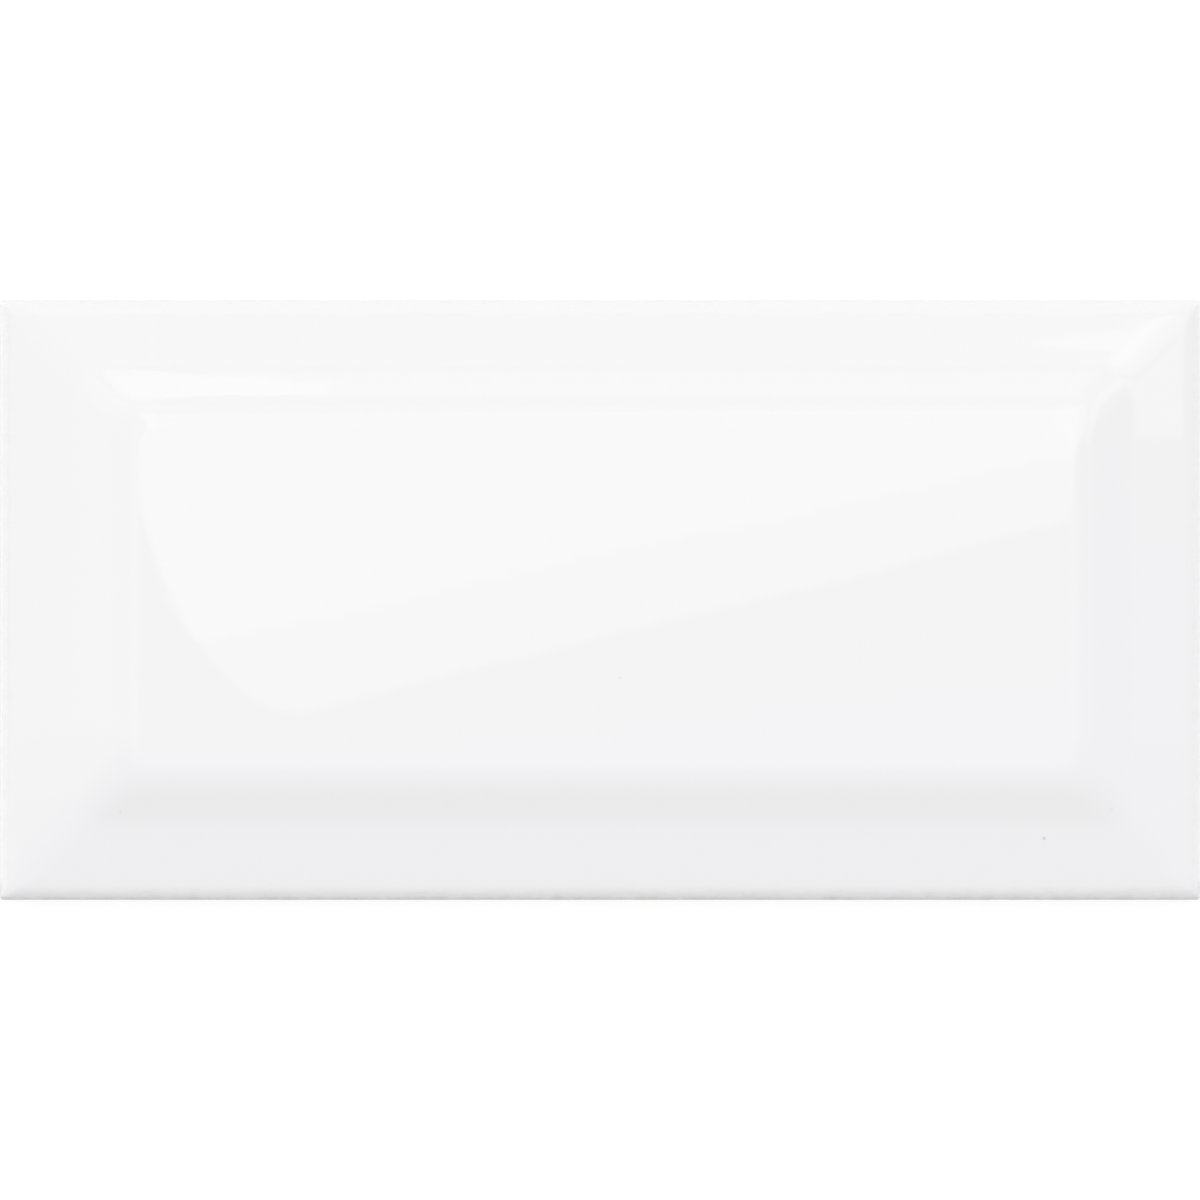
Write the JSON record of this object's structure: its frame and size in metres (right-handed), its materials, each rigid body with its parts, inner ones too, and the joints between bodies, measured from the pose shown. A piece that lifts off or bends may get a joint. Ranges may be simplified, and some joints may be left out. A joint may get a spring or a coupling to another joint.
{
  "type": "beveled tile",
  "caption": "Rectangular glazed ceramic wall tile with a flat raised field, mitred sloping margins all round and a ribbed back for adhesive.",
  "frame": {"origin": "centre of the tile's back, on the plane of the back ribs", "axes": "+X along the length, +Y along the width, +Z out of the glazed face, square to the back"},
  "size_m": [0.2, 0.1, 0.008],
  "materials": {
    "glaze": "high-gloss white glaze on the face and the upper edges, pale fired clay on the back"
  },
  "bodies": {
    "root": {"beveled_tile": "glaze"}
  },
  "joints": []
}
